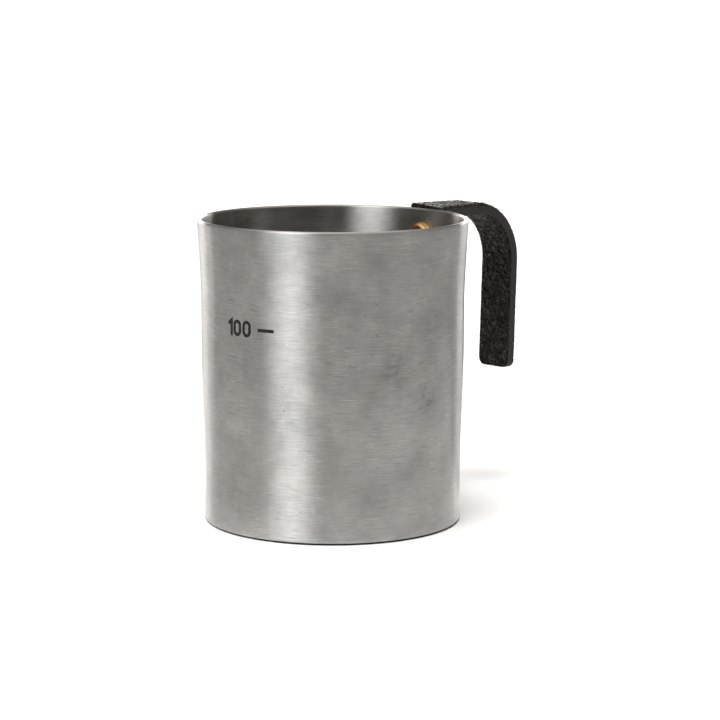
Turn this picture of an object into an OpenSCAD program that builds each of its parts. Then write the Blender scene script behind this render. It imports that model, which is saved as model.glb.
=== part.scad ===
// Small melting pot: a stainless steel cup with a slightly flared rim, and a
// black forged strap handle held by two brass screws put in from the inside.
// Millimetres. Origin at the centre of the base, +Z up, handle towards +X.

/* [Cup] */
// Height from the base to the top of the rim
cup_h = 66; // [60:1:72]
// Outer diameter of the wall above mid height
body_d = 57; // [56:0.5:60]
// Outer diameter at the rim
rim_d = 58.7; // [57.7:0.1:61.7]
// Outer diameter at the base
base_d = 55.8; // [54:0.2:56]
// Thickness of the steel
wall_t = 1; // [0.8:0.1:1.2]
// Outer radius of the corner round the base
base_corner_r = 0.8; // [0.4:0.1:1.2]

/* [Handle] */
// Width of the strap
strap_w = 9; // [8:0.5:12]
// Thickness of the strap
strap_t = 3; // [2.4:0.1:3.6]
// Height of the arm above the rim
arm_lift = 0.8; // [0.4:0.1:2]
// Angle that the arm is rolled by where it leaves the cup
arm_roll = 5.5; // [0:0.5:7]
// Distance from the cup's axis to the outside of the grip
grip_reach = 56.5; // [50:0.1:62]
// Radius inside the bend from arm to grip
bend_r = 11.1; // [8:0.1:14]
// Height of the end of the grip above the base
grip_end_z = 27.8; // [20:0.1:36]
// Angle that the grip leans in towards the cup
grip_lean = 2; // [0:0.5:4]
// Length of the leg against the wall, from the top of the arm
leg_len = 25; // [23:1:30]
// Angle that the leg leans out, to follow the flare of the wall
leg_lean = 2; // [1:0.5:3]

/* [Screws] */
// Diameter of the screws
screw_d = 3; // [2.5:0.5:4]
// Diameter of the screw heads
head_d = 6; // [5.5:0.1:7]
// Thickness of the screw heads
head_t = 1.1; // [1:0.1:1.6]
// Diameter of the washers
washer_d = 6.2; // [6:0.1:7.5]
// Thickness of the washers
washer_t = 0.35; // [0.3:0.05:0.6]
// Depth of the upper screw below the rim
screw_drop = 6.2; // [5:0.1:8]
// Distance between the two screws
screw_pitch = 11; // [9:0.5:12]

/* [Hidden] */
round_fn = 96;
head_fn = 64;
bar_fn = 48;
corner_fn = 32;
seat_fn = 720;

// The wall swells from the base up to mid height and flares to the rim.
swell_z = [0.18 * cup_h, 0.59 * cup_h];
flare_z = 0.74 * cup_h;
flare_power = 1.3;
profile_step = cup_h / 33;

screw_z = [cup_h - screw_drop, cup_h - screw_drop - screw_pitch];
bore_start = body_d / 4;
screw_clearance = 0.2;
thread_clearance = 0.05;
slot_w = 0.8;
slot_depth = 0.5;
head_chamfer = 0.2;
tip_recess = 0.2;

arm_z = cup_h + arm_lift;
bend_out_r = bend_r + strap_t;
bend_x = grip_reach - bend_out_r;
bend_z = arm_z - bend_out_r;
end_r = 1.5;
slab_t = 0.1;
arm_level_len = 2;
arm_inset = 0.02;

// The leg is hollowed by this much to sit on the round wall.
seat_depth = 0.4;
leg_x = rim_d / 2 + strap_t - seat_depth;

// 0 to 1 with a level start and finish
function ease(u) = let (v = max(0, min(1, u))) v * v * (3 - 2 * v);

// Outer radius of the cup at height z
function wall_r(z) =
    base_d / 2
    + (body_d - base_d) / 2 * ease((z - swell_z[0]) / (swell_z[1] - swell_z[0]))
    + (rim_d - body_d) / 2 * pow(max(0, (z - flare_z) / (cup_h - flare_z)), flare_power);

function wall_points(inset, from_z, to_z) =
    let (n = ceil((to_z - from_z) / profile_step))
    [for (i = [0 : n]) let (z = from_z + (to_z - from_z) * i / n) [wall_r(z) - inset, z]];

function reversed(list) = [for (i = [len(list) - 1 : -1 : 0]) list[i]];

// The base corner, from the flat underside round to the wall
function corner_points() =
    [for (a = [-90 : 15 : 0])
        [base_d / 2 - base_corner_r + base_corner_r * cos(a), base_corner_r + base_corner_r * sin(a)]];

// Half section of the cup: base, wall and a rounded lip
module cup_section() {
    lip_z = cup_h - wall_t / 2;
    polygon(concat(
        [[0, 0]],
        corner_points(),
        wall_points(0, 2 * base_corner_r, lip_z),
        reversed(wall_points(wall_t, wall_t, lip_z)),
        [[0, wall_t]]
    ));
    translate([wall_r(lip_z) - wall_t / 2, lip_z]) circle(d = wall_t, $fn = corner_fn);
}

// Everything inside the outer face of the wall, carried up past the rim
module wall_envelope() {
    top_z = arm_z + strap_t;
    rotate_extrude($fn = round_fn)
    polygon(concat(
        [[0, 0]],
        wall_points(0, 0, cup_h),
        [[rim_d / 2, top_z], [0, top_z]]
    ));
}

// A round bar along X at height z, from x0 to x1
module bar_x(d, z, x0, x1) {
    translate([x0, 0, z]) rotate([0, 90, 0]) cylinder(d = d, h = x1 - x0, $fn = bar_fn);
}

module cup() {
    color("silver")
    difference() {
        rotate_extrude($fn = round_fn) cup_section();
        for (z = screw_z) bar_x(screw_d + screw_clearance, z, bore_start, rim_d);
    }
}

// A length of strap that hangs from top_z with its outer face at x, leans in
// by an angle on its way down, and has round corners at its lower end
module hanging_strap(x, top_z, len, lean) {
    drift = len * tan(lean);
    side = [[x, 0], [x - drift, -len], [x - drift - strap_t, -len], [x - strap_t, 0]];
    translate([0, 0, top_z])
    intersection() {
        translate([0, strap_w, 0]) rotate([90, 0, 0]) linear_extrude(2 * strap_w) polygon(side);
        translate([x - drift - 2 * strap_t, 0, 0]) rotate([90, 0, 90])
        linear_extrude(drift + 3 * strap_t) {
            translate([-strap_w / 2, end_r - len]) square([strap_w, len]);
            translate([end_r - strap_w / 2, -len]) square([strap_w - 2 * end_r, len]);
            for (side = [-1, 1])
                translate([side * (strap_w / 2 - end_r), end_r - len]) circle(r = end_r, $fn = corner_fn);
        }
    }
}

// A slab across the arm that starts at x and is inset all round
module arm_slab(x, len, roll, inset) {
    translate([x, 0, arm_z - strap_t / 2]) rotate([roll, 0, 0])
    translate([0, inset - strap_w / 2, inset - strap_t / 2])
    cube([len, strap_w - 2 * inset, strap_t - 2 * inset]);
}

module arm() {
    arm_slab(bend_x - arm_level_len, arm_level_len, 0, 0);
    hull() {
        arm_slab(body_d / 2 - strap_t, slab_t, arm_roll, 0);
        arm_slab(bend_x - slab_t, slab_t, 0, arm_inset);
    }
}

module bend() {
    translate([bend_x, 0, bend_z]) rotate([90, 0, 0])
    rotate_extrude(angle = 90, $fn = round_fn)
    translate([bend_r, -strap_w / 2]) square([strap_t, strap_w]);
}

module grip() {
    hanging_strap(grip_reach, bend_z, bend_z - grip_end_z, grip_lean);
}

module leg() {
    hanging_strap(leg_x, arm_z - strap_t / 2, leg_len - strap_t / 2, leg_lean);
}

module handle() {
    color([0.12, 0.12, 0.12])
    difference() {
        union() {
            arm();
            bend();
            grip();
            leg();
        }
        wall_envelope();
        for (z = screw_z) bar_x(screw_d + 2 * thread_clearance, z, bore_start, leg_x + strap_t);
    }
}

// A washer pressed to the curve of the inside wall
module washer(z) {
    seat_r = wall_r(z) - wall_t;
    color([0.80, 0.62, 0.28])
    difference() {
        intersection() {
            bar_x(washer_d, z, seat_r - washer_t, seat_r + washer_t);
            translate([0, 0, z - washer_d]) cylinder(r = seat_r, h = 2 * washer_d, $fn = seat_fn);
        }
        bar_x(screw_d + screw_clearance, z, seat_r - 2 * washer_t, seat_r + washer_t);
    }
}

module screw(z) {
    face_x = wall_r(z) - wall_t - washer_t - head_t;
    tip_x = leg_x - (arm_z - z) * tan(leg_lean) - tip_recess;
    color([0.83, 0.64, 0.29])
    difference() {
        union() {
            translate([face_x, 0, z]) rotate([0, 90, 0]) {
                cylinder(d1 = head_d - 2 * head_chamfer, d2 = head_d, h = head_chamfer, $fn = head_fn);
                translate([0, 0, head_chamfer]) cylinder(d = head_d, h = head_t - head_chamfer, $fn = head_fn);
            }
            bar_x(screw_d, z, face_x + head_t / 2, tip_x);
        }
        translate([face_x - slot_depth, -head_d, z - slot_w / 2])
        cube([2 * slot_depth, 2 * head_d, slot_w]);
    }
}

module upper_washer() { washer(screw_z[0]); }
module lower_washer() { washer(screw_z[1]); }
module upper_screw() { screw(screw_z[0]); }
module lower_screw() { screw(screw_z[1]); }

cup();
handle();
upper_washer();
lower_washer();
upper_screw();
lower_screw();
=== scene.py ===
import math

import bpy
import numpy as np
from mathutils import Matrix, Vector, noise


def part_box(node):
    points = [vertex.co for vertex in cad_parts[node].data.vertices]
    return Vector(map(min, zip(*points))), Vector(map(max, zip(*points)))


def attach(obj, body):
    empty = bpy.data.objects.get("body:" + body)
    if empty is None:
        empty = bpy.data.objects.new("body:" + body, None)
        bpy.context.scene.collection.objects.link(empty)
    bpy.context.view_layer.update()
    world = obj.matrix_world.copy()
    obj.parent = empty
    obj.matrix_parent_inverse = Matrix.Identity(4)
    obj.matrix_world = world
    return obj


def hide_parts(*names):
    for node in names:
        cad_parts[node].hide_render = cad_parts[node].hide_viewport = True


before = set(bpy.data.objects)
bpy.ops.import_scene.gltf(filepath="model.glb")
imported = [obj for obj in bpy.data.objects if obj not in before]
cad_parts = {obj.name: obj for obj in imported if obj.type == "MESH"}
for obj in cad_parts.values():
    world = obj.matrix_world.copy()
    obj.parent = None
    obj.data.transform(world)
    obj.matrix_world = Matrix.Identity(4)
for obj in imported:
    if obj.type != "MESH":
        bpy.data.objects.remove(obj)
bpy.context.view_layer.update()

# The object's lengths are in millimetres here, and MM turns them into Blender's metres.
MM = 0.001


# --- Sizes ------------------------------------------------------------------


def box_mm(node):
    """A CAD node's lowest and highest corners, in millimetres."""
    low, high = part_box(node)
    return np.array(low) / MM, np.array(high) / MM


CUP_HIGH = box_mm("cup")[1]
HANDLE_LOW, HANDLE_HIGH = box_mm("handle")

# The cup
CUP_H = CUP_HIGH[2]
BODY_D = 57.0
RIM_D = 58.7
BASE_D = 55.8
WALL_T = 1.0
BASE_CORNER_R = 0.8
FLOOR_CORNER_R = 0.9
SWELL_Z = (0.18 * CUP_H, 0.59 * CUP_H)
FLARE_Z = 0.74 * CUP_H
FLARE_POWER = 1.3

# The handle
STRAP_W = 9.0
STRAP_T = 3.0
ARM_LIFT = 0.8
ARM_Z = CUP_H + ARM_LIFT
ARM_ROLL = math.radians(5.5)
ARM_ROLL_X = BODY_D / 2 - STRAP_T
BEND_R = 11.1
BEND_X = HANDLE_HIGH[0] - BEND_R - STRAP_T
BEND_Z = ARM_Z - BEND_R - STRAP_T
LEAN = math.radians(2)
LEG_LEN = 25.0
SEAT_DEPTH = 0.4
LEG_X = RIM_D / 2 + STRAP_T - SEAT_DEPTH
HOLE_D = 3.1

# The fasteners
SCREW_D = 3.0
SCREW_CLEARANCE = 0.2
HEAD_D = 6.0
HEAD_T = 1.1
WASHER_D = 6.2
BORE_START = BODY_D / 4


def ease(u):
    """0 to 1 with a level start and finish."""
    u = np.clip(u, 0, 1)
    return u * u * (3 - 2 * u)


def wall_r(z):
    """Outer radius of the cup at height z."""
    swell = (BODY_D - BASE_D) / 2 * ease((z - SWELL_Z[0]) / (SWELL_Z[1] - SWELL_Z[0]))
    flare = (RIM_D - BODY_D) / 2 * np.clip((z - FLARE_Z) / (CUP_H - FLARE_Z), 0, None) ** FLARE_POWER
    return BASE_D / 2 + swell + flare


def wall_point(azimuth, z):
    """A point on the outside of the cup, with its azimuth in degrees from the handle."""
    angle = math.radians(azimuth)
    return (wall_r(z) * math.cos(angle), wall_r(z) * math.sin(angle), z)


# --- Camera, floor and light ------------------------------------------------

# The stage's lengths are in metres.

LENS_MM = 123.4
CAMERA_AZIMUTH = -135.0
CAMERA_DISTANCE = 0.5308
CAMERA_HEIGHT = 0.1214
LOOK_AZIMUTH = 44.359
LOOK_ELEVATION = -9.26
CAMERA_ROLL = 0.15

FLOOR_HALF = 40.0
CARD_INNER = 0.031
CARD_OUTER = 3.0
CARD_HEIGHT = 0.001
CARD_STEPS = 48
CARD_COLOUR = (1.0, 0.965, 0.935, 1)
CARD_FADE_MM = (60, 320)
ROOM_COLOUR = (1.0, 0.945, 0.88, 1)


def direction(azimuth, elevation):
    """Unit vector at an azimuth from +X and an elevation, in degrees."""
    a, e = math.radians(azimuth), math.radians(elevation)
    return Vector((math.cos(a) * math.cos(e), math.sin(a) * math.cos(e), math.sin(e)))


def aim(obj, place, look, roll=0.0):
    """Puts obj at place with its -Z along look and its +Y up, turned by roll degrees."""
    right = look.cross(Vector((0, 0, 1))).normalized()
    up = right.cross(look).normalized()
    turn = Matrix.Rotation(math.radians(-roll), 4, look)
    basis = Matrix((right, up, -look)).transposed().to_4x4()
    obj.matrix_world = Matrix.Translation(place) @ turn @ basis


def make_camera():
    camera = bpy.data.objects.new("camera", bpy.data.cameras.new("camera"))
    camera.data.lens = LENS_MM
    camera.data.sensor_width = 36
    camera.data.clip_end = 100
    place = CAMERA_DISTANCE * direction(CAMERA_AZIMUTH, 0) + Vector((0, 0, CAMERA_HEIGHT))
    aim(camera, place, direction(LOOK_AZIMUTH, LOOK_ELEVATION), CAMERA_ROLL)
    bpy.context.scene.collection.objects.link(camera)
    bpy.context.scene.camera = camera


def make_floor():
    mesh = bpy.data.meshes.new("floor")
    corners = [(x * FLOOR_HALF, y * FLOOR_HALF, 0) for x, y in ((-1, -1), (1, -1), (1, 1), (-1, 1))]
    mesh.from_pydata(corners, [], [(0, 1, 2, 3)])
    look = Look("floor_paper", Base_Color=(0.8, 0.8, 0.8, 1), Roughness=1.0, Specular_IOR_Level=0.0)
    mesh.materials.append(look.material)
    floor = bpy.data.objects.new("floor", mesh)
    bpy.context.scene.collection.objects.link(floor)


def make_card(name, start, end, near_level, far_level):
    """A grey card just over the floor on one side of the pot, seen only in reflections."""
    points = []
    for radius in (CARD_INNER, CARD_OUTER):
        for azimuth in np.linspace(start, end, CARD_STEPS + 1):
            points.append(radius * direction(azimuth, 0) + Vector((0, 0, CARD_HEIGHT)))
    row = CARD_STEPS + 1
    faces = [(k, row + k, row + 1 + k, k + 1) for k in range(CARD_STEPS)]
    mesh = bpy.data.meshes.new(name)
    mesh.from_pydata([tuple(p) for p in points], [], faces)
    look = Look(name, Base_Color=(0, 0, 0, 1), Specular_IOR_Level=0.0)
    look.feed("Emission_Color", CARD_COLOUR)
    away = look.length(look.place())
    look.feed("Emission_Strength", look.spread(away, *CARD_FADE_MM, near_level, far_level))
    mesh.materials.append(look.material)
    card = bpy.data.objects.new(name, mesh)
    bpy.context.scene.collection.objects.link(card)
    card.visible_camera = card.visible_diffuse = card.visible_shadow = False


def make_panel(name, azimuth, distance, height, width, tall, power, soft=False):
    """A rectangular softbox that faces the pot. A soft one fades towards its sides."""
    data = bpy.data.lights.new(name, "AREA")
    data.shape = "RECTANGLE"
    data.size, data.size_y = width, tall
    data.energy = power
    if soft:
        data.use_nodes = True
        nodes = Nodes(data.node_tree)
        across = nodes.parts(nodes.node("NewGeometry", {}).outputs["Parametric"])[0]
        wave = nodes.math("SINE", nodes.times(across, math.pi))
        nodes.put(nodes.tree.nodes["Emission"].inputs["Strength"], nodes.math("POWER", wave, 2.0))
    panel = bpy.data.objects.new(name, data)
    bpy.context.scene.collection.objects.link(panel)
    place = distance * direction(azimuth, 0) + Vector((0, 0, height))
    aim(panel, place, direction(azimuth + 180, 0))
    panel.visible_camera = False


def make_sun(name, azimuth, elevation, angle, strength):
    """Even light on the floor, which the pot's steel doesn't mirror."""
    data = bpy.data.lights.new(name, "SUN")
    data.energy = strength
    data.angle = math.radians(angle)
    sun = bpy.data.objects.new(name, data)
    bpy.context.scene.collection.objects.link(sun)
    aim(sun, Vector((0, 0, 1)), -direction(azimuth, elevation))
    sun.visible_glossy = False


def make_world():
    """A dim room, darkest behind the camera, with a pale ceiling."""
    world = bpy.data.worlds.new("studio")
    world.use_nodes = True
    nodes = Nodes(world.node_tree)
    background = nodes.tree.nodes["Background"]
    view = nodes.node("TexCoord", {}).outputs["Generated"]

    def glow(towards, start, end, start_level, end_level):
        """Strength that changes smoothly as the view turns towards a direction."""
        facing = nodes.node("VectorMath", {0: view, 1: towards}, operation="DOT_PRODUCT").outputs["Value"]
        return nodes.spread(facing, start, end, start_level, end_level, interpolation_type="SMOOTHSTEP")

    room = glow(direction(-120, 5), 0.3, 1.0, 0.19, 0.06)
    ceiling = glow(direction(0, 90), 0.6, 0.95, 0.0, 1.0)
    nodes.put(background.inputs["Color"], ROOM_COLOUR)
    nodes.put(background.inputs["Strength"], nodes.total(room, ceiling))
    bpy.context.scene.world = world


def make_stage():
    bpy.context.scene.view_settings.view_transform = "Standard"
    make_camera()
    make_floor()
    make_world()
    make_card("front_card", start=-257, end=-18, near_level=1.16, far_level=0.60)
    make_card("left_card", start=70, end=103, near_level=1.3, far_level=1.3)
    make_card("back_card", start=-18, end=70, near_level=0.70, far_level=0.70)
    make_panel("key", azimuth=-172.5, distance=1.1, height=0.62, width=1.2, tall=1.2, power=14.0, soft=True)
    make_panel("backdrop", azimuth=45, distance=2.6, height=0.45, width=4.6, tall=0.9, power=24)
    make_sun("fill", azimuth=-128, elevation=78, angle=20, strength=1.88)
    make_sun("soft_key", azimuth=-212, elevation=60, angle=80, strength=1.6)


# --- Materials --------------------------------------------------------------


class Nodes:
    """A node tree, and short ways to add nodes to it. Inputs are numbers, colours or sockets."""

    def __init__(self, tree):
        self.tree = tree

    def put(self, socket, value):
        if isinstance(value, bpy.types.NodeSocket):
            self.tree.links.new(value, socket)
        else:
            socket.default_value = value

    def node(self, kind, inputs, **settings):
        made = self.tree.nodes.new("ShaderNode" + kind)
        for key, value in settings.items():
            setattr(made, key, value)
        for key, value in inputs.items():
            self.put(made.inputs[key], value)
        return made

    def vector(self, operation, a, b=(0, 0, 0)):
        return self.node("VectorMath", {0: a, 1: b}, operation=operation).outputs["Vector"]

    def scaled(self, a, factor):
        return self.node("VectorMath", {0: a, "Scale": factor}, operation="SCALE").outputs["Vector"]

    def length(self, a):
        return self.node("VectorMath", {0: a}, operation="LENGTH").outputs["Value"]

    def parts(self, a):
        return self.node("SeparateXYZ", {0: a}).outputs

    def joined(self, x, y, z):
        return self.node("CombineXYZ", {0: x, 1: y, 2: z}).outputs[0]

    def math(self, operation, a, b=0.0):
        return self.node("Math", {0: a, 1: b}, operation=operation).outputs[0]

    def times(self, a, b):
        return self.math("MULTIPLY", a, b)

    def total(self, *values):
        result = values[0]
        for value in values[1:]:
            result = self.math("ADD", result, value)
        return result

    def spread(self, value, low, high, to_low, to_high, **settings):
        """Maps low..high to to_low..to_high, and holds it there."""
        sockets = {0: value, 1: low, 2: high, 3: to_low, 4: to_high}
        return self.node("MapRange", sockets, **settings).outputs[0]


class Look(Nodes):
    """A material with a Principled shader, and the patterns that the looks are made of."""

    def __init__(self, name, **sockets):
        self.material = bpy.data.materials.new(name)
        self.material.use_nodes = True
        super().__init__(self.material.node_tree)
        self.shader = self.tree.nodes["Principled BSDF"]
        for socket, value in sockets.items():
            self.feed(socket, value)

    def feed(self, socket, value):
        """Sets or links one of the shader's sockets; its name has _ for spaces."""
        self.put(self.shader.inputs[socket.replace("_", " ")], value)

    def place(self, centre=(0, 0, 0)):
        """Position on the object from centre, in millimetres."""
        spot = self.node("TexCoord", {}).outputs["Object"]
        return self.vector("SUBTRACT", self.scaled(spot, 1 / MM), centre)

    def noise(self, place, scale=1.0, detail=2.0, roughness=0.5):
        """Cloudy noise about 0.5, with features of 1 / scale."""
        sockets = {"Vector": place, "Scale": scale, "Detail": detail, "Roughness": roughness}
        return self.node("TexNoise", sockets).outputs["Fac"]

    def share(self, value, low=0.3, high=0.7):
        """A value as a share, 0 at low and 1 at high. Noise mostly lies between 0.3 and 0.7."""
        return self.spread(value, low, high, 0, 1)

    def swing(self, noise, reach):
        """Noise as a change either way about 0, by up to reach."""
        return self.spread(noise, 0.3, 0.7, -reach, reach)

    def specks(self, place, spacing, size, chance):
        """Small round spots, 1 at their middles, in a share of the cells that are spacing wide."""
        found = self.node("TexVoronoi", {"Vector": place, "Scale": 1 / spacing})
        near = self.spread(found.outputs["Distance"], 0.4 * size / spacing, size / spacing, 1, 0)
        chosen = self.math("LESS_THAN", self.parts(found.outputs["Color"])[0], chance)
        return self.times(near, chosen)

    def spot(self, place, centre, size):
        """A soft round spot about centre, 1 in its middle."""
        away = self.length(self.vector("SUBTRACT", place, centre))
        return self.spread(away, 0.2 * size, size, 1, 0)

    def mix(self, share, a, b):
        """A colour between a and b."""
        sockets = {"Factor": share, 6: a, 7: b}
        return self.node("Mix", sockets, data_type="RGBA").outputs[2]

    def bump(self, height, depth_mm, under=None):
        sockets = {"Height": height, "Distance": depth_mm * MM}
        if under is not None:
            sockets["Normal"] = under
        return self.node("Bump", sockets).outputs["Normal"]

    def turned_about(self, axis):
        """Makes the gloss follow circles about an axis through the middle of the piece."""
        self.feed("Tangent", self.node("Tangent", {}, direction_type="RADIAL", axis=axis).outputs[0])


# Azimuth in degrees, height and radius of each of the two smudges
SMUDGES = ((-107.0, 36.8, 4.5), (-90.9, 30.3, 4.0))
# The painted shade round the foot, a dark line that stands in for the shadow where the rounded corner
# meets the floor, fades out between these heights and, underneath, between these distances in from the
# edge.
PAINTED_FOOT_SHADE_Z = (0.35, 0.55)
PAINTED_FOOT_SHADE_IN = (1.6, 1.2)
# The lip's painted highlight, a paler colour, fades in between these depths below the top.
PAINTED_LIP_HIGHLIGHT_DEPTH = (0.5, 0.35)


def brushed(look, place, length, width, detail):
    """Noise drawn out round the cup: streaks about length by width."""
    flat = look.vector("MULTIPLY", place, (1, 1, 0))
    up = look.total(look.parts(place)[2], look.length(flat))
    turn = look.scaled(look.vector("NORMALIZE", flat), BODY_D / 2 / length)
    across = look.joined(0.0, 0.0, look.times(up, 1 / width))
    return look.noise(look.vector("ADD", turn, across), 1.0, detail)


def steel_scratches(look, place, worn):
    """Short scratches round the cup, light ones above 0 and dark ones below, where it is worn."""
    light = look.spread(brushed(look, place, 2.4, 0.16, 0.0), 0.66, 0.78, 0, 1)
    dark = look.spread(brushed(look, place, 3.0, 0.16, 0.0), 0.34, 0.22, 0, 1)
    return look.total(look.times(look.times(light, worn), 0.28), look.times(look.times(dark, worn), -0.28))


def steel_smudge(look, place):
    """Two ragged smudges on the wall, 0 to 1."""
    spots = [look.spot(place, wall_point(azimuth, z), size) for azimuth, z, size in SMUDGES]
    ragged = look.share(look.noise(place, 0.7, 4.0, 0.6), 0.42, 0.58)
    return look.times(look.math("MAXIMUM", *spots), ragged)


def steel_specks(look, place):
    """Small round specks, light ones above 0 and dark ones below."""
    dark = look.specks(look.vector("ADD", place, (0, 17, 0)), spacing=2.2, size=0.22, chance=0.35)
    light = look.specks(place, spacing=2.0, size=0.16, chance=0.45)
    return look.total(look.times(dark, -0.5), look.times(light, 0.8))


def steel_colour(look, place, shade):
    """Grey by shade in a slowly changing tint, with a painted highlight on the lip and painted shade round
    the foot.
    """
    tint = look.share(look.noise(look.vector("ADD", place, (0, 0, 90)), 0.13, 3.0, 0.6), 0.38, 0.62)
    dark = look.mix(tint, (0.215, 0.220, 0.212, 1), (0.224, 0.217, 0.211, 1))
    light = look.mix(tint, (0.640, 0.645, 0.630, 1), (0.655, 0.642, 0.628, 1))
    height = look.parts(place)[2]
    # Painted highlight: the paler colour on the lip stands in for the bright line of light along its
    # rounded top.
    lip = look.share(height, CUP_H - PAINTED_LIP_HIGHLIGHT_DEPTH[0], CUP_H - PAINTED_LIP_HIGHLIGHT_DEPTH[1])
    colour = look.mix(lip, look.mix(shade, dark, light), (0.62, 0.61, 0.60, 1))
    radius = look.length(look.vector("MULTIPLY", place, (1, 1, 0)))
    underneath = look.spread(radius, BASE_D / 2 - PAINTED_FOOT_SHADE_IN[0], BASE_D / 2 - PAINTED_FOOT_SHADE_IN[1], 1, 0)
    clear_of_painted_shade = look.math("MAXIMUM", look.share(height, *PAINTED_FOOT_SHADE_Z), underneath)
    # Painted shade: the near-black colour stands in for the shadow under the foot's rounded corner.
    return look.mix(clear_of_painted_shade, (0.008, 0.008, 0.008, 1), colour)


def steel_look():
    """Stainless steel brushed round the cup, with the marks of handling."""
    look = Look("brushed_steel", Metallic=1.0, Anisotropic=1.0, Anisotropic_Rotation=0.25)
    place = look.place()
    fine = brushed(look, place, 4.0, 0.15, 2.0)
    coarse = brushed(look, place, 12.0, 0.36, 3.0)
    patches = look.noise(place, 0.16, 4.0, 0.6)
    clouds = look.noise(look.vector("ADD", place, (40, 0, 0)), 0.11, 3.0, 0.5)
    smudge = steel_smudge(look, place)
    shade = look.total(
        look.swing(fine, 0.11),
        look.swing(coarse, 0.05),
        steel_scratches(look, place, worn=look.spread(clouds, 0.4, 0.62, 0.3, 1.0)),
        look.swing(patches, 0.16),
        look.swing(clouds, 0.12),
        look.times(smudge, -0.16),
        steel_specks(look, place),
        0.5,
    )
    rough = look.total(
        look.swing(coarse, 0.03),
        look.spread(patches, 0.35, 0.65, -0.03, 0.03),
        look.times(smudge, 0.06),
        0.34,
    )
    waves = look.bump(look.noise(place, 0.075, 1.0, 0.4), 0.06)
    look.feed("Base_Color", steel_colour(look, place, shade))
    look.feed("Roughness", rough)
    look.feed("Normal", look.bump(look.total(fine, look.times(coarse, 0.5)), 0.007, under=waves))
    look.turned_about("Z")
    return look.material


def etched_look():
    """The dark surface that a laser leaves on steel."""
    look = Look("etched_mark", Metallic=0.0, Specular_IOR_Level=0.2)
    place = look.place()
    grain = look.noise(place, 5.0, 3.0, 0.6)
    colour = look.mix(look.share(grain), (0.006, 0.0055, 0.005, 1), (0.020, 0.018, 0.015, 1))
    look.feed("Base_Color", colour)
    look.feed("Roughness", look.spread(grain, 0.3, 0.7, 0.45, 0.65))
    look.feed("Normal", look.bump(grain, 0.01))
    return look.material


def hammered_look():
    """Black oxide on the strap's broad, hammered faces: lumps, and creases that wind between them, with
    painted shade in the creases and hollows.
    """
    look = Look("black_hammered", Metallic=0.0, Specular_IOR_Level=0.32)
    place = look.place()
    wander = look.math("ABSOLUTE", look.math("SUBTRACT", look.noise(place, 0.42, 2.0), 0.5))
    creases = look.share(wander, 0.0, 0.045)
    lumps = look.share(look.noise(place, 0.8, 2.0, 0.55), 0.42, 0.6)
    relief = look.total(look.times(creases, 0.6), lumps)
    # Painted shade: the colour follows the relief, darker in the creases and where the lumps are low.
    shade = look.times(look.spread(creases, 0, 1, 0.15, 1), look.spread(lumps, 0, 1, 0.1, 1))
    look.feed("Base_Color", look.mix(shade, (0.0012, 0.0011, 0.0010, 1), (0.022, 0.0205, 0.019, 1)))
    look.feed("Roughness", look.spread(relief, 0, 1.6, 0.42, 0.2))
    look.feed("Normal", look.bump(relief, 0.9))
    return look.material


def satin_look():
    """Black oxide on the strap's smooth side edges."""
    look = Look("black_satin", Metallic=0.0, Specular_IOR_Level=0.4)
    place = look.place()
    cloud = look.noise(place, 0.35, 3.0)
    grain = look.noise(place, 6.0, 2.0, 0.6)
    colour = look.mix(look.share(cloud), (0.012, 0.0115, 0.011, 1), (0.020, 0.019, 0.018, 1))
    look.feed("Base_Color", colour)
    look.feed("Roughness", look.spread(look.total(cloud, grain), 0.7, 1.3, 0.45, 0.6))
    look.feed("Normal", look.bump(grain, 0.012))
    return look.material


SCREW_TINT = (0.93, 0.52, 0.22)
WASHER_TINT = (0.93, 0.70, 0.36)
TARNISH = 0.7
RINGS_PER_MM = 9.0


def brass_look(name, centre, tint):
    """Brass turned round the screw's axis, which runs along X through centre."""
    look = Look(name, Metallic=1.0, Anisotropic=0.5, Anisotropic_Rotation=0.25)
    place = look.place(centre)
    radius = look.times(look.length(look.vector("MULTIPLY", place, (0, 1, 1))), RINGS_PER_MM)
    along = look.times(look.parts(place)[0], RINGS_PER_MM)
    rings = look.noise(look.joined(radius, along, 0.0))
    cloud = look.noise(place, 0.8, 3.0)
    tarnish = look.total(look.swing(rings, 0.15), look.swing(cloud, 0.35), 0.5)
    dark = tuple(TARNISH * c for c in tint) + (1,)
    look.feed("Base_Color", look.mix(tarnish, tint + (1,), dark))
    look.feed("Roughness", look.spread(tarnish, 0.2, 0.8, 0.22, 0.42))
    look.feed("Normal", look.bump(rings, 0.006))
    look.turned_about("X")
    return look.material


# --- Mesh helpers -----------------------------------------------------------


def new_object(name, points, faces, materials, sharp_degrees=None):
    """A smooth-shaded mesh object from points in millimetres."""
    mesh = bpy.data.meshes.new(name)
    mesh.from_pydata((np.asarray(points, float) * MM).tolist(), [], faces)
    mesh.polygons.foreach_set("use_smooth", [True] * len(mesh.polygons))
    if sharp_degrees is not None:
        mesh.set_sharp_from_angle(angle=math.radians(sharp_degrees))
    for material in materials:
        mesh.materials.append(material)
    obj = bpy.data.objects.new(name, mesh)
    bpy.context.scene.collection.objects.link(obj)
    return obj


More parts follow.
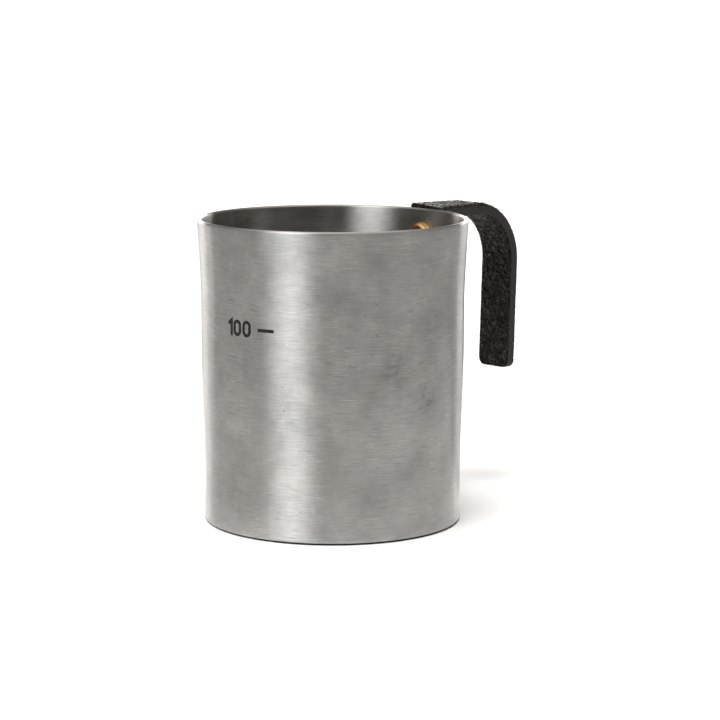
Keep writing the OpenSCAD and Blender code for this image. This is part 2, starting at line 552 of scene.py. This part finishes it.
def lathe(profile, segments):
    """Points and faces of a profile of (radius, height) turned about Z.

    The profile runs from the axis outwards and up, so that the faces point out of the solid.
    A profile point at radius 0 becomes one pole.
    """
    angles = np.linspace(0, 2 * math.pi, segments, endpoint=False)
    points, faces, rings = [], [], []
    for radius, height in profile:
        if radius < 1e-9:
            rings.append([len(points)])
            points.append((0, 0, height))
            continue
        rings.append(list(range(len(points), len(points) + segments)))
        points += [(radius * math.cos(a), radius * math.sin(a), height) for a in angles]
    for low, high in zip(rings, rings[1:]):
        for i in range(segments):
            j = (i + 1) % segments
            if len(low) == 1:
                faces.append((low[0], high[j], high[i]))
            elif len(high) == 1:
                faces.append((low[i], low[j], high[0]))
            else:
                faces.append((low[i], low[j], high[j], high[i]))
    return points, faces


def arc(centre, radius, start, end, count):
    """Points on an arc, angles in degrees."""
    angles = np.radians(np.linspace(start, end, count))
    return [(centre[0] + radius * math.cos(a), centre[1] + radius * math.sin(a)) for a in angles]


def along_x(points, x, z):
    """Turns a lathe's axis from Z to X, with its foot at (x, 0, z)."""
    return [(x + h, -b, z + a) for a, b, h in points]


def bar_x(diameter, z, x0, x1):
    """A round bar along X, as a cutter."""
    radius = diameter / 2
    points, faces = lathe([(0, x0), (radius, x0), (radius, x1), (0, x1)], 48)
    return new_object("bar", along_x(points, 0, z), faces, [])


def cut(obj, cutters):
    """Takes the cutters out of obj and deletes them."""
    for cutter in cutters:
        modifier = obj.modifiers.new("cut", "BOOLEAN")
        modifier.operation = "DIFFERENCE"
        modifier.solver = "EXACT"
        modifier.object = cutter
    bpy.context.view_layer.update()
    mesh = bpy.data.meshes.new_from_object(obj.evaluated_get(bpy.context.evaluated_depsgraph_get()))
    obj.modifiers.clear()
    obj.data = mesh
    for cutter in cutters:
        bpy.data.objects.remove(cutter)


def finish_piece(obj, node):
    if node:
        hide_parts(node)
    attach(obj, "root")


# --- Cup --------------------------------------------------------------------


def cup_profile():
    """From the middle of the underside, up the outside, over the lip and back down inside."""
    lip_z = CUP_H - WALL_T / 2
    lip_r = wall_r(lip_z) - WALL_T / 2
    corner = (BASE_D / 2 - BASE_CORNER_R, BASE_CORNER_R)
    floor_z = WALL_T + FLOOR_CORNER_R
    floor_r = wall_r(floor_z) - WALL_T - FLOOR_CORNER_R
    underside = [(r, 0) for r in np.linspace(0, corner[0], 12)]
    outside = [(wall_r(z), z) for z in np.linspace(1.5 * BASE_CORNER_R, lip_z, 70)]
    inside = [(wall_r(z) - WALL_T, z) for z in np.linspace(lip_z, floor_z, 45)]
    floor = [(r, WALL_T) for r in np.linspace(floor_r, 0, 12)]
    return (
        underside
        + arc(corner, BASE_CORNER_R, -90, 0, 8)[1:]
        + outside
        + arc((lip_r, lip_z), WALL_T / 2, 0, 180, 15)[1:]
        + inside[1:]
        + arc((floor_r, floor_z), FLOOR_CORNER_R, 0, -90, 8)[1:]
        + floor[1:]
    )


def screw_heights():
    """Heights of the two screws, from the CAD screws' own boxes."""
    boxes = [box_mm("upper_screw"), box_mm("lower_screw")]
    return [(low[2] + high[2]) / 2 for low, high in boxes]


def make_cup(material):
    points, faces = lathe(cup_profile(), 400)
    cup = new_object("cup_body", points, faces, [material])
    cut(cup, [bar_x(SCREW_D + SCREW_CLEARANCE, z, BORE_START, RIM_D) for z in screw_heights()])
    finish_piece(cup, "cup")


# --- Fill mark --------------------------------------------------------------

MARK_Z = 43.2
MARK_H = 3.5
MARK_LINE = 0.70
MARK_DEPTH = 0.02
NOUGHT_W = 2.3
LEVEL_LEN = 3.9
MARK_STEP = 0.3


def ribbon(path, width, closed):
    """Left and right edges of a flat ribbon along a path, with mitred corners."""
    path = np.array(path, float)
    ahead = np.roll(path, -1, 0) - path
    behind = path - np.roll(path, 1, 0)
    if not closed:
        ahead[-1], behind[0] = behind[-1], ahead[0]
    ahead /= np.linalg.norm(ahead, axis=1)[:, None]
    behind /= np.linalg.norm(behind, axis=1)[:, None]
    normal = np.c_[-(ahead + behind)[:, 1], (ahead + behind)[:, 0]]
    normal /= np.linalg.norm(normal, axis=1)[:, None]
    lean = normal[:, 0] * -ahead[:, 1] + normal[:, 1] * ahead[:, 0]
    offset = normal * (width / 2 / lean)[:, None]
    return path + offset, path - offset


def dense(path):
    """A polyline with points added so that none are further apart than MARK_STEP."""
    out = [path[0]]
    for a, b in zip(path, path[1:]):
        count = max(1, math.ceil(math.dist(a, b) / MARK_STEP))
        out += [tuple(np.array(a) + (np.array(b) - a) * k / count) for k in range(1, count + 1)]
    return out


def on_wall(points, azimuth, height):
    """Wraps (along, up) points round the wall, starting at an azimuth, and height proud of it."""
    out = []
    for along, z in points:
        radius = wall_r(z) + height
        angle = math.radians(azimuth) + along / (BODY_D / 2)
        out.append((radius * math.cos(angle), radius * math.sin(angle), z))
    return out


def stroke(path, azimuth, closed):
    """Points and faces of one thin stroke lying on the wall."""
    left, right = ribbon(path, MARK_LINE, closed)
    count = len(path)
    sides = [(left, MARK_DEPTH), (right, MARK_DEPTH), (right, -MARK_DEPTH), (left, -MARK_DEPTH)]
    points = [p for edge, height in sides for p in on_wall(edge, azimuth, height)]
    faces = []
    for i in range(count if closed else count - 1):
        j = (i + 1) % count
        for k in range(4):
            a, b = k * count, (k + 1) % 4 * count
            faces.append((a + i, a + j, b + j, b + i))
    if not closed:
        faces.append(tuple(k * count for k in range(4)))
        faces.append(tuple(k * count + count - 1 for k in (3, 2, 1, 0)))
    return points, faces


def nought_path(width):
    """Centre line of a nought: two straight sides and two round ends."""
    r = (width - MARK_LINE) / 2
    low, high = MARK_Z + MARK_LINE / 2 + r, MARK_Z + MARK_H - MARK_LINE / 2 - r
    top = arc((r, high), r, 0, 180, 13)
    bottom = arc((r, low), r, 180, 360, 13)
    sides = np.linspace(low, high, 5)[1:-1]
    return top + [(0, z) for z in sides[::-1]] + bottom + [(2 * r, z) for z in sides]


def make_fill_mark(material):
    """The number of millilitres and a short level line, each stroke at its own azimuth."""
    top, middle = MARK_Z + MARK_H, MARK_Z + MARK_H / 2
    one = dense([(-0.95, top - 1.05), (0, top - 0.25), (0, MARK_Z)])
    nought = nought_path(NOUGHT_W)
    level = dense([(0, middle), (LEVEL_LEN, middle)])
    strokes = [
        (one, 177.0, False),
        (nought, 178.9, True),
        (nought, 184.3, True),
        (level, 191.8, False),
    ]
    points, faces = [], []
    for path, azimuth, closed in strokes:
        more, sides = stroke(path, azimuth, closed)
        faces += [tuple(len(points) + i for i in side) for side in sides]
        points += more
    mark = new_object("fill_mark", points, faces, [material], sharp_degrees=40)
    finish_piece(mark, None)


# --- Handle -----------------------------------------------------------------

STEP = 0.2
OUTER_BEVEL = 0.85
INNER_BEVEL = 0.35
END_ROUND = 2.0
HAMMER_DEPTH = 0.36

# Seen flat, an end of the strap is part of a superellipse that takes this share off the half width.
END_POWER = 2.2
END_NARROWING = 0.42

# The arm's roll grows from nothing at one height to all of it over the rise.
ROLL_FROM_Z = ARM_Z - 7
ROLL_RISE = 5
SEAT_GAP = 0.01

# The hammered relief. Scales are features per millimetre, the depth of the warp is in millimetres,
# and the width of a crease and the size of a dome are shares of a grain.
WARP_SCALE = 0.8
WARP_DEPTH = 0.55
GRAIN_SCALE = 0.95
CREASE_WIDTH = 0.45
DOME_SIZE = 0.8
FINE_SCALE = 2.3
BROAD_SCALE = 0.33


def along_line(points):
    """Points about STEP apart, spaced evenly along a polyline."""
    points = np.array(points, float)
    lengths = np.r_[0, np.cumsum(np.hypot(*np.diff(points, axis=0).T))]
    s = np.linspace(0, lengths[-1], max(2, round(lengths[-1] / STEP) + 1))
    return np.c_[np.interp(s, lengths, points[:, 0]), np.interp(s, lengths, points[:, 1])]


def resampled(line, count):
    """A polyline's points spread out to another count."""
    k = np.linspace(0, len(line) - 1, count)
    whole = np.arange(len(line))
    return np.c_[np.interp(k, whole, line[:, 0]), np.interp(k, whole, line[:, 1])]


def strap_sides():
    """The strap's two broad faces in side view, as matching rows of (x, z) points.

    The first is the face against the wall, then the top of the arm and the outside of the grip.
    The second is the leg's outer face, the underside of the arm and the inside of the grip.
    """
    back_r, front_r = 0.3, 1.4
    leg_top = ARM_Z - STRAP_T / 2
    leg_foot = ARM_Z - LEG_LEN
    drift = (leg_top - leg_foot) * math.tan(LEAN)
    drop = np.array([-math.tan(LEAN), -1]) * (BEND_Z - HANDLE_LOW[2])
    back_x = LEG_X - STRAP_T
    back_corner = arc((back_x + back_r, ARM_Z - back_r), back_r, 180, 90, 9)
    front_corner = arc((LEG_X + front_r, ARM_Z - STRAP_T - front_r), front_r, 180, 90, 9)
    end_angle = -math.degrees(LEAN)
    bend = (BEND_X, BEND_Z)
    outer_bend = arc(bend, BEND_R + STRAP_T, 90, end_angle, 70)
    inner_bend = arc(bend, BEND_R, 90, end_angle, 70)
    stretches = [
        ([(back_x - drift, leg_foot), (back_x, leg_top), back_corner[0]],
         [(LEG_X - drift, leg_foot), front_corner[0]]),
        (back_corner, front_corner),
        ([back_corner[-1], outer_bend[0]], [front_corner[-1], inner_bend[0]]),
        (outer_bend, inner_bend),
        ([outer_bend[-1], outer_bend[-1] + drop], [inner_bend[-1], inner_bend[-1] + drop]),
    ]
    outer, inner = [], []
    for out, into in stretches:
        out, into = along_line(out), along_line(into)
        count = max(len(out), len(into))
        skip = 1 if outer else 0
        outer += resampled(out, count)[skip:].tolist()
        inner += resampled(into, count)[skip:].tolist()
    return np.array(outer), np.array(inner)


def with_round_ends(outer, inner):
    """Adds closely spaced rings at both ends, and gives each ring's distance from the nearer end."""
    middle = (outer + inner) / 2
    s = np.r_[0, np.cumsum(np.hypot(*np.diff(middle, axis=0).T))]
    near = END_ROUND * (1 - np.cos(np.linspace(0, math.pi / 2, 12)))
    inside = s[(s > END_ROUND * 1.05) & (s < s[-1] - END_ROUND * 1.05)]
    wanted = np.r_[near, inside, s[-1] - near[::-1]]

    def at(line):
        return np.c_[np.interp(wanted, s, line[:, 0]), np.interp(wanted, s, line[:, 1])]

    return at(outer), at(inner), np.minimum(wanted, s[-1] - wanted)


def section():
    """One ring of the strap as rows of (y share, depth share, y corner, depth corner).

    A point is at share times the half size less the bevel, plus corner times the bevel.
    The depth runs from -1 on the inner face to 1 on the outer face.
    """
    flat = np.linspace(-1, 1, round(STRAP_W / STEP))
    side = np.linspace(1, -1, round(STRAP_T / STEP))[1:-1]
    turn = np.linspace(0, math.pi / 2, 6)[1:-1]
    rows = [(f, 1, 0, 1) for f in flat]
    rows += [(1, 1, math.sin(t), math.cos(t)) for t in turn]
    rows += [(1, f, 1, 0) for f in np.r_[1, side, -1]]
    rows += [(1, -1, math.cos(t), -math.sin(t)) for t in turn]
    rows += [(f, -1, 0, -1) for f in flat[::-1]]
    rows += [(-1, -1, -math.sin(t), -math.cos(t)) for t in turn]
    rows += [(-1, -f, -1, 0) for f in np.r_[1, side, -1]]
    rows += [(-1, 1, -math.cos(t), math.sin(t)) for t in turn]
    return np.array(rows)


def hammer_marks(place):
    """Depth, 0 to 1, of the hammered relief at a point of the strap: round grains, creases between."""
    p = Vector(place)
    warp = Vector([noise.noise(p * WARP_SCALE + Vector((9 * k, 5 * k, 0))) for k in range(3)])
    near, second = noise.voronoi(GRAIN_SCALE * (p + WARP_DEPTH * warp))[0][:2]
    crease = 1 - min(1.0, (second - near) / CREASE_WIDTH)
    dome = min(1.0, near / DOME_SIZE) ** 2
    fine = 0.5 + 0.5 * noise.noise(p * FINE_SCALE)
    broad = 0.5 + 0.5 * noise.noise(p * BROAD_SCALE)
    return min(1.0, 0.25 * crease + 0.30 * dome + 0.25 * fine + 0.30 * broad)


def ring_halves(from_end, depth):
    """Half a ring's width and half its thickness, less where it is near an end."""
    round_share = max(0.0, 1 - from_end / END_ROUND)
    half_w = (STRAP_W / 2) * (1 - END_NARROWING * (1 - (1 - round_share ** END_POWER) ** (1 / END_POWER)))
    bevel_share = max(0.0, 1 - from_end / INNER_BEVEL)
    return half_w, depth - INNER_BEVEL * (1 - math.sqrt(1 - bevel_share ** 2))


def ring_points(loop, middle, axis, depth, from_end):
    """One ring of the strap, dented on its broad faces by the hammer marks."""
    half_w, half_t = ring_halves(from_end, depth)
    points = []
    for across, through, corner_y, corner_t in loop:
        bevel = min(OUTER_BEVEL if through > 0 else INNER_BEVEL, half_t)
        y = across * (half_w - bevel) + corner_y * bevel
        v = through * (half_t - bevel) + corner_t * bevel
        x, z = middle[0] + axis[0] * v, middle[1] + axis[1] * v
        broad = abs(corner_t) if abs(through) == 1 else 0.0
        dent = HAMMER_DEPTH * hammer_marks((x, y, z)) * broad * min(1, from_end / INNER_BEVEL)
        dent = math.copysign(dent, v)
        points.append((x - axis[0] * dent, y, z - axis[1] * dent))
    return points


def strap_faces(loop, rings):
    """The strap's faces, and the number of each one's material: 0 is hammered, 1 is satin."""
    n = len(loop)
    on_side = np.abs(loop[:, 2]) == 1
    faces, kinds = [], []
    for i in range(rings - 1):
        for k in range(n):
            m = (k + 1) % n
            faces.append((i * n + k, (i + 1) * n + k, (i + 1) * n + m, i * n + m))
            kinds.append(int(on_side[k] and on_side[m]))
    faces.append(tuple(range(n)))
    faces.append(tuple(reversed(range((rings - 1) * n, rings * n))))
    return faces, kinds + [1, 1]


def make_handle(hammered, satin):
    outer, inner, from_end = with_round_ends(*strap_sides())
    loop = section()
    middle = (outer + inner) / 2
    depth = np.hypot(*(outer - inner).T) / 2
    axis = (outer - inner) / (2 * depth)[:, None]
    points = []
    for ring in zip(middle, axis, depth, from_end):
        points += ring_points(loop, *ring)
    faces, kinds = strap_faces(loop, len(middle))
    handle = new_object("handle_strap", seated(rolled(np.array(points))), faces, [hammered, satin])
    handle.data.polygons.foreach_set("material_index", kinds)
    cut(handle, [bar_x(HOLE_D, z, BORE_START, LEG_X + STRAP_T) for z in screw_heights()])
    finish_piece(handle, "handle")


def rolled(points):
    """Rolls the arm about its own length, most where it meets the wall."""
    share = np.clip((BEND_X - points[:, 0]) / (BEND_X - ARM_ROLL_X), 0, 1)
    share *= ease((points[:, 2] - ROLL_FROM_Z) / ROLL_RISE)
    angle = ARM_ROLL * share
    z = points[:, 2] - (ARM_Z - STRAP_T / 2)
    y = points[:, 1]
    out = points.copy()
    out[:, 1] = y * np.cos(angle) - z * np.sin(angle)
    out[:, 2] = y * np.sin(angle) + z * np.cos(angle) + ARM_Z - STRAP_T / 2
    return out


def seated(points):
    """Moves points that would be inside the wall out to it."""
    radius = wall_r(np.minimum(points[:, 2], CUP_H)) + SEAT_GAP
    least = np.sqrt(radius ** 2 - points[:, 1] ** 2)
    out = points.copy()
    out[:, 0] = np.maximum(points[:, 0], least)
    return out


# --- Screws and washers -----------------------------------------------------


# The head's edges: inwards from its rim, then along the screw
HEAD_CHAMFER = (0.55, 0.374)
HEAD_EDGE = (0.06, 0.07)
HEAD_BACK_EDGE = 0.05
NECK_FILLET = 0.1
SCREW_TIP = 0.3
SLOT_W = 0.8
SLOT_DEPTH = 0.5
SLOT_FLARE = 0.1
CUTTER_OVER = 0.3
WASHER_EDGE = 0.06
BRASS_SHARP = 35


def screw_profile(length):
    """From the middle of the head's face, round the head and along the shank to the tip."""
    r, shank = HEAD_D / 2, SCREW_D / 2
    chamfer_in, chamfer_z = HEAD_CHAMFER
    edge_in, edge_z = HEAD_EDGE
    profile = [(x, 0) for x in np.linspace(0, r - chamfer_in, 8)]
    profile += [(r - edge_in, chamfer_z), (r, chamfer_z + edge_z)]
    profile += [(r, HEAD_T - HEAD_BACK_EDGE), (r - HEAD_BACK_EDGE, HEAD_T)]
    profile += [(shank + NECK_FILLET, HEAD_T), (shank, HEAD_T + NECK_FILLET)]
    profile += [(shank, x) for x in np.linspace(HEAD_T + 0.5, length - SCREW_TIP, 4)]
    return profile + [(shank - SCREW_TIP, length), (0, length)]


def slot_cutter(face_x, z):
    """A bar across the screw's face, flared where the slot opens."""
    half = SLOT_W / 2
    wide = half + SLOT_FLARE + CUTTER_OVER
    outline = [(-wide, -CUTTER_OVER), (wide, -CUTTER_OVER)]
    outline += [(half, SLOT_FLARE), (half, SLOT_DEPTH), (-half, SLOT_DEPTH), (-half, SLOT_FLARE)]
    reach = HEAD_D / 2 + 1
    points = [(face_x + x, y, z + up) for y in (-reach, reach) for up, x in outline]
    n = len(outline)
    faces = [(i, (i + 1) % n, (i + 1) % n + n, i + n) for i in range(n)]
    faces += [tuple(reversed(range(n))), tuple(range(n, 2 * n))]
    return new_object("slot", points, faces, [])


def make_screw(name, node, z, material):
    low, high = box_mm(node)
    points, faces = lathe(screw_profile(high[0] - low[0]), 96)
    screw = new_object(name, along_x(points, low[0], z), faces, [material], BRASS_SHARP)
    cut(screw, [slot_cutter(low[0], z)])
    screw.data.set_sharp_from_angle(angle=math.radians(BRASS_SHARP))
    finish_piece(screw, node)


def make_washer(name, node, z, material):
    """A thin ring pressed to the curve of the inside wall. In loop, depth 1 is the wall itself."""
    front_x = box_mm(node)[0][0]
    inner, outer = (SCREW_D + SCREW_CLEARANCE) / 2, WASHER_D / 2
    loop = [(inner, 1), (inner, 0), (outer - WASHER_EDGE, 0), (outer, WASHER_EDGE), (outer, 1)]
    count = 96
    points, faces = [], []
    for i in range(count):
        angle = 2 * math.pi * i / count
        for radius, depth in loop:
            y, up = radius * math.cos(angle), z + radius * math.sin(angle)
            back_x = math.sqrt((wall_r(up) - WALL_T) ** 2 - y * y)
            x = back_x if depth == 1 else front_x + depth
            points.append((x, y, up))
    n = len(loop)
    for i in range(count):
        j = (i + 1) % count
        for k in range(n):
            m = (k + 1) % n
            faces.append((i * n + k, i * n + m, j * n + m, j * n + k))
    washer = new_object(name, points, faces, [material], BRASS_SHARP)
    finish_piece(washer, node)


# --- The object -------------------------------------------------------------

make_stage()
make_cup(steel_look())
make_fill_mark(etched_look())
make_handle(hammered_look(), satin_look())
for level, height in zip(("upper", "lower"), screw_heights()):
    head = (box_mm(level + "_screw")[0][0], 0, height)
    screw_brass = brass_look(level + "_screw_look", head, SCREW_TINT)
    washer_brass = brass_look(level + "_washer_look", head, WASHER_TINT)
    make_screw(level + "_screw_brass", level + "_screw", height, screw_brass)
    make_washer(level + "_washer_brass", level + "_washer", height, washer_brass)
